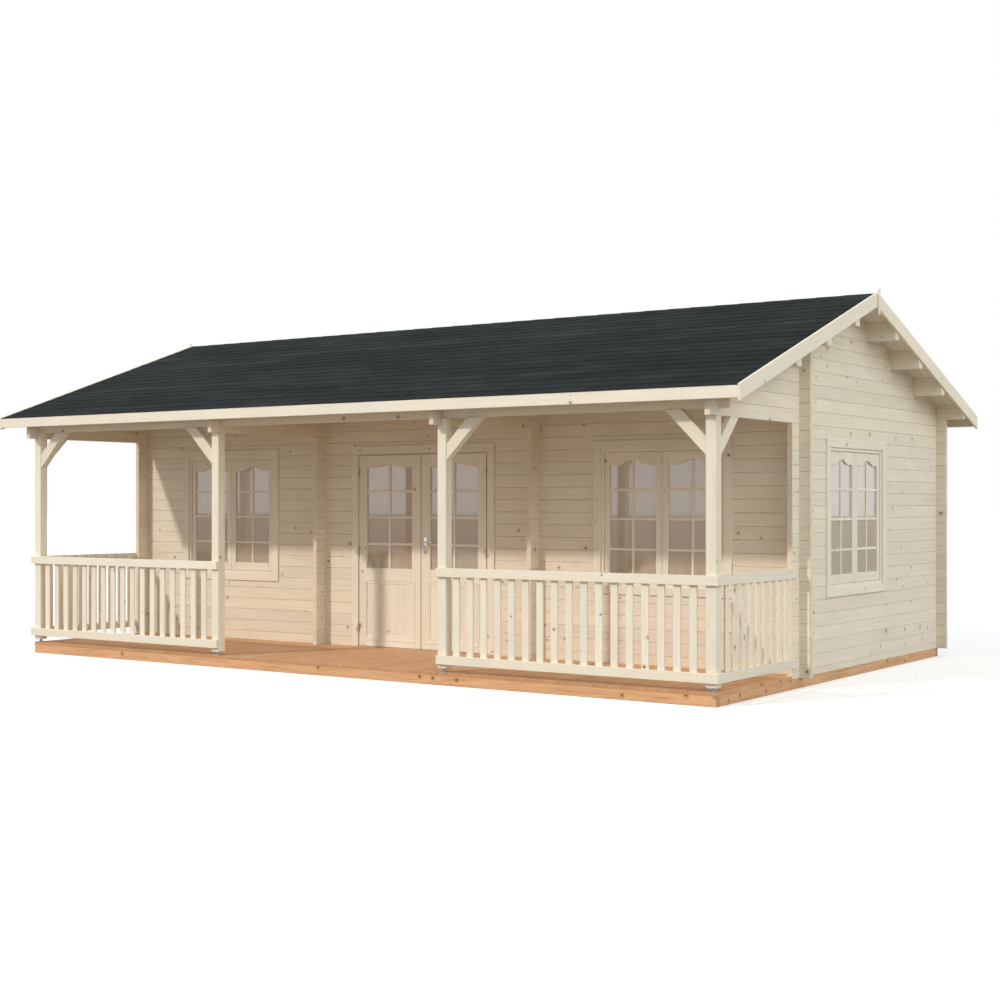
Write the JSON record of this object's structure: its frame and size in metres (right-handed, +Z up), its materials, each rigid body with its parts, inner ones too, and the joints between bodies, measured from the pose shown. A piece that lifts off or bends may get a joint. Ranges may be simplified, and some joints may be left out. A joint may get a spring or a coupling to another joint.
{
  "type": "log cabin",
  "caption": "Log cabin with interlocking log walls, low gable roof, covered railed terrace along the front, crowned casement windows and glazed double doors.",
  "frame": {"origin": "middle of the footprint at ground level, under the ridge", "axes": "+X along the ridge to the right as seen from the terrace front, +Y from the terrace to the rear wall, +Z up"},
  "size_m": [8.402, 5.415, 3.3924],
  "materials": {
    "spruce": "planed, untreated",
    "planed_spruce": "planed, untreated",
    "larch": "sawn, oiled",
    "roof_felt": "matt, mineral surfaced",
    "glass": "clear",
    "galvanised_steel": "galvanised",
    "chrome": "polished"
  },
  "bodies": {
    "cabin": {"base_frame": "larch", "terrace_deck": "larch", "cabin_floor": "planed_spruce", "gable_wall_left": "spruce", "gable_wall_right": "spruce", "rear_wall": "spruce", "front_wall_left": "spruce", "front_wall_right": "spruce", "front_wall_over_door": "spruce", "cross_wall_left": "spruce", "cross_wall_right": "spruce", "tie_wall_left": "spruce", "tie_wall_right": "spruce", "front_beam": "spruce", "post_outer_left": "planed_spruce", "post_inner_left": "planed_spruce", "post_inner_right": "planed_spruce", "post_outer_right": "planed_spruce", "post_feet": "galvanised_steel", "post_braces": "planed_spruce", "railing_front_left": "planed_spruce", "railing_front_right": "planed_spruce", "railing_side_left": "planed_spruce", "railing_side_right": "planed_spruce", "purlins": "planed_spruce", "roof_boards_front": "planed_spruce", "roof_boards_rear": "planed_spruce", "roof_cover_front": "roof_felt", "roof_cover_rear": "roof_felt", "ridge_cap": "roof_felt", "eaves_fascias": "planed_spruce", "bargeboards_left": "planed_spruce", "bargeboards_right": "planed_spruce", "apex_battens": "planed_spruce", "window_front_left": "planed_spruce", "window_front_right": "planed_spruce", "window_gable_left": "planed_spruce", "window_gable_right": "planed_spruce", "window_glass": "glass", "door_frame": "planed_spruce"},
    "door_left": {"door_leaf_left": "planed_spruce", "door_glass_left": "glass"},
    "door_right": {"door_leaf_right": "planed_spruce", "door_glass_right": "glass", "door_handle": "chrome"}
  },
  "joints": [
    {"name": "door_left_hinge", "type": "hinge", "parent": "cabin", "child": "door_left", "pos_m": [-0.82, -1.015, 1], "axis": [0, 0, -1], "range_deg": [0, 100]},
    {"name": "door_right_hinge", "type": "hinge", "parent": "cabin", "child": "door_right", "pos_m": [0.73, -1.015, 1], "axis": [0, 0, 1], "range_deg": [0, 100]}
  ]
}
